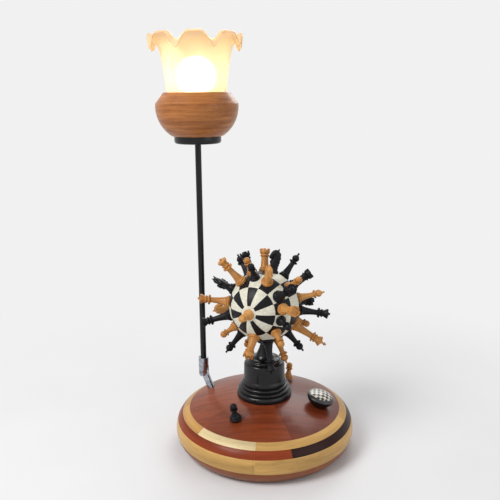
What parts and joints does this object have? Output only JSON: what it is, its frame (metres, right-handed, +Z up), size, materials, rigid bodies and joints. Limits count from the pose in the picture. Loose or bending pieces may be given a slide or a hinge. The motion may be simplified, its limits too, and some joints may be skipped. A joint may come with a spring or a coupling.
{
  "type": "rotating motion lamp",
  "caption": "Table lamp with a slowly turning ball of chess pieces on a black pedestal, a laminated wood base, a tilting upright arm and a ruffled glass shade.",
  "frame": {"origin": "centre of the felt under the base, on the surface that it stands on", "axes": "+Z up along the pedestal's axis, +Y away from the viewer of the picture, +X to the viewer's right"},
  "size_m": [0.311, 0.2797, 0.6281],
  "materials": {
    "felt": "felt",
    "dark_wood": "satin lacquer",
    "pale_wood": "satin lacquer",
    "red_wood": "satin lacquer",
    "brown_wood": "satin lacquer",
    "cup_wood": "satin lacquer",
    "black_lacquer": "gloss lacquer",
    "plywood": "bare",
    "steel": "plain",
    "zinc": "zinc plated",
    "brass": "turned",
    "chrome": "polished",
    "black_plastic": "satin",
    "black_metal": "gloss enamel",
    "chequer": "polished, black and white",
    "light_chess": "satin lacquer",
    "dark_chess": "satin lacquer",
    "holder_metal": "plain",
    "lamp_cap": "plain",
    "bulb": "clear, lit",
    "shade": "amber, ruffled"
  },
  "bodies": {
    "base": {"felt_pad": "felt", "base_cover_plate": "plywood", "cover_screws": "zinc", "base_bottom_ring": "dark_wood", "maple_ring_wide": "pale_wood", "red_ring": "red_wood", "maple_ring_thin": "pale_wood", "base_dome": "brown_wood", "cord_gland": "black_plastic", "cord_gland_nut": "black_plastic", "pedestal_body": "black_lacquer", "pedestal_screws": "zinc", "motor_foot": "zinc", "motor_screws": "zinc", "motor_can": "zinc", "gearbox": "zinc", "spindle_bush": "brass", "thrust_washer": "brass", "dimmer_case": "black_plastic", "dimmer_nut": "zinc", "lamp_switch": "black_plastic", "motor_switch": "black_plastic", "switch_nuts": "zinc", "arm_stub": "chrome", "arm_block": "plywood", "arm_washer_and_nut": "zinc"},
    "ball_rotor": {"output_shaft": "steel", "coupler": "steel", "coupler_grub_screws": "steel", "spindle": "steel", "ball_hub": "black_lacquer", "ball": "chequer", "light_kings": "light_chess", "light_queens": "light_chess", "light_bishops": "light_chess", "light_knights": "light_chess", "light_rooks": "light_chess", "light_pawns": "light_chess", "dark_kings": "dark_chess", "dark_queens": "dark_chess", "dark_bishops": "dark_chess", "dark_knights": "dark_chess", "dark_rooks": "dark_chess", "dark_pawns": "dark_chess"},
    "knob": {"dimmer_shaft": "steel", "knob_skirt": "black_lacquer", "knob_cap": "chequer"},
    "lamp_button": {"lamp_plunger": "steel", "dark_pawn_button": "dark_chess"},
    "motor_button": {"motor_plunger": "steel", "light_pawn_button": "light_chess"},
    "arm": {"knuckle_ferrule": "chrome", "knuckle_screw": "chrome", "arm_rod": "black_metal", "head_plate": "black_lacquer", "wood_cup": "cup_wood", "lampholder": "holder_metal", "bulb_cap": "lamp_cap", "bulb_glass": "bulb", "glass_shade": "shade"}
  },
  "joints": [
    {"name": "ball_spin", "type": "hinge", "parent": "base", "child": "ball_rotor", "pos_m": [0, 0, 0.225], "axis": [0, 0, 1], "continuous": true},
    {"name": "arm_tilt", "type": "hinge", "parent": "base", "child": "arm", "pos_m": [-0.09915, 0.05272, 0.096], "axis": [-0.4695, -0.8829, 0], "range_deg": [0, 35]},
    {"name": "knob_turn", "type": "hinge", "parent": "base", "child": "knob", "pos_m": [0.0836, -0.02334, 0.07046], "axis": [0.2454, -0.0685, 0.967], "range_deg": [-150, 150]},
    {"name": "lamp_switch_press", "type": "slide", "parent": "base", "child": "lamp_button", "axis": [0.1293, 0.2102, -0.9691], "range_m": [0, 0.002], "stiffness_N_per_m": 400},
    {"name": "motor_switch_press", "type": "slide", "parent": "base", "child": "motor_button", "axis": [-0.1193, -0.173, -0.9777], "range_m": [0, 0.002], "stiffness_N_per_m": 400}
  ]
}
